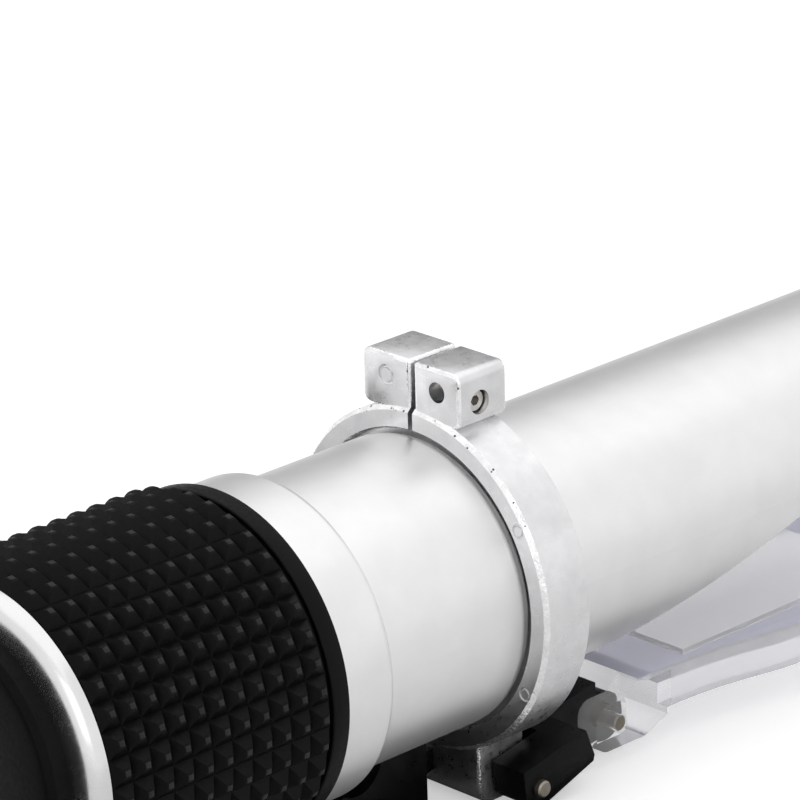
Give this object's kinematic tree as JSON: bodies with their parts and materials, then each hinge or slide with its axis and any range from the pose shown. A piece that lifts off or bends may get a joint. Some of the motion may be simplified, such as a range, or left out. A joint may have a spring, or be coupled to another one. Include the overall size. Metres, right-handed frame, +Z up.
{
  "type": "brix refractometer",
  "caption": "Handheld refractometer: metal tube with studded rubber grip, eyecup, slanted prism face, clamp ring and hinged clear daylight plate.",
  "frame": {"origin": "on the table under the middle of the tube's length", "axes": "+Y along the tube towards the prism nose, +Z up, +X to the right seen from the eyecup"},
  "size_m": [0.0412, 0.141, 0.0412],
  "materials": {
    "satin_aluminium": "bead-blasted, clear anodised, satin",
    "plated_casting": "bright plated die casting, slightly rough",
    "bright_bezel": "polished",
    "grip_rubber": "moulded, semi-matt",
    "eyecup_rubber": "moulded, soft matt",
    "black_plastic": "moulded, matt",
    "clear_plastic": "clear acrylic, polished",
    "prism_glass": "polished optical glass",
    "lens_glass": "polished optical glass",
    "seal_black": "matt bedding compound",
    "cell_black": "black, matt, to kill stray light",
    "steel": "turned steel",
    "brass": "turned brass"
  },
  "bodies": {
    "barrel": {"main_tube": "satin_aluminium", "prism_housing": "satin_aluminium", "main_prism": "prism_glass", "prism_seal": "seal_black", "ring_clamp": "plated_casting", "clamp_screw": "steel", "stop_collar": "satin_aluminium", "rubber_grip": "grip_rubber", "rest_foot": "black_plastic", "foot_screw": "steel", "reticle_mount": "cell_black", "reticle_glass": "lens_glass", "objective_cell": "brass", "objective_lens": "lens_glass", "objective_retainer": "brass", "guide_key": "brass"},
    "focus_ring": {"focus_bezel": "bright_bezel", "focus_cam": "cell_black", "eyecup": "eyecup_rubber"},
    "lens_slide": {"lens_cell": "cell_black", "ocular_lens": "lens_glass", "lens_spacer": "cell_black", "field_lens": "lens_glass", "lens_retainer": "cell_black"},
    "link": {"hinge_link": "black_plastic", "link_pin": "steel"},
    "plate": {"daylight_plate": "clear_plastic", "plate_pin": "steel"},
    "calibration": {"calibration_screw": "brass"}
  },
  "joints": [
    {"name": "focus_turn", "type": "hinge", "parent": "barrel", "child": "focus_ring", "pos_m": [0, -0.0445, 0.0206], "axis": [0, 1, 0], "range_deg": [-70, 70]},
    {"name": "lens_travel", "type": "slide", "parent": "barrel", "child": "lens_slide", "axis": [0, 1, 0], "range_m": [-0.0012, 0.0012]},
    {"name": "link_pivot", "type": "hinge", "parent": "barrel", "child": "link", "pos_m": [0, 0.00947, 0.0024], "axis": [1, 0, 0], "range_deg": [0, 13.67]},
    {"name": "plate_hinge", "type": "hinge", "parent": "link", "child": "plate", "pos_m": [0, 0.022, 0.00376], "axis": [1, 0, 0], "range_deg": [-75, 5.63]},
    {"name": "calibration_turn", "type": "hinge", "parent": "barrel", "child": "calibration", "pos_m": [-0.0122, -0.0035, 0.0206], "axis": [-1, 0, 0], "range_deg": [-90, 90]}
  ],
  "couplings": [
    {"joint": "lens_travel", "follows": "focus_turn", "m_per_rad": 0.00098}
  ]
}
